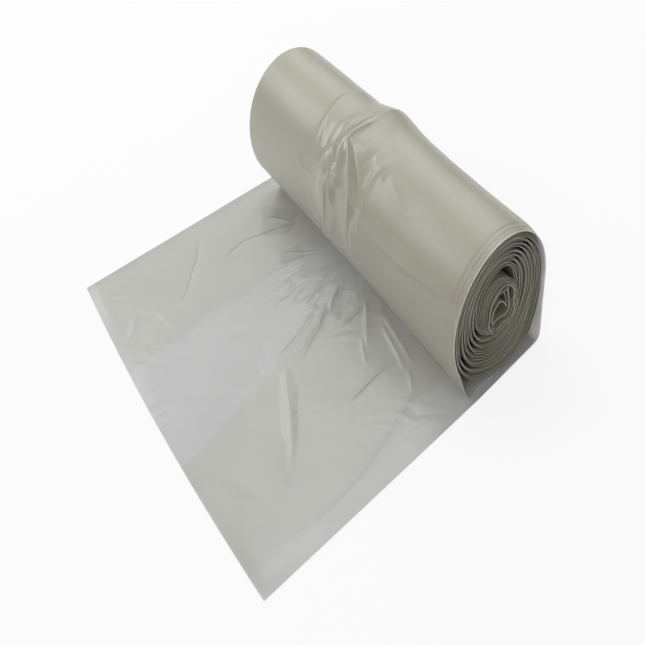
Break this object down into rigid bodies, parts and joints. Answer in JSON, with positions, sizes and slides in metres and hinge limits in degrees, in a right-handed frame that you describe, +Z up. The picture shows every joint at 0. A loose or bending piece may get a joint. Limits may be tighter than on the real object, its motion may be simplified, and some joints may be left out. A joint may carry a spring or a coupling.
{
  "type": "bin bag roll",
  "caption": "Loosely wound coreless roll of folded refuse sacks in pale film, with the first sack pulled out flat in front of it.",
  "frame": {"origin": "under the middle of the roll's axis, on the flat face that the roll and its sheet rest on", "axes": "+X along the roll, towards the end whose turns lean forward; +Y from the sheet's free edge towards the roll; +Z up"},
  "size_m": [0.5631, 0.4057, 0.1883],
  "materials": {
    "film": "soft semi-gloss, milky polyethylene film"
  },
  "bodies": {
    "root": {"film_web": "film"}
  },
  "joints": []
}
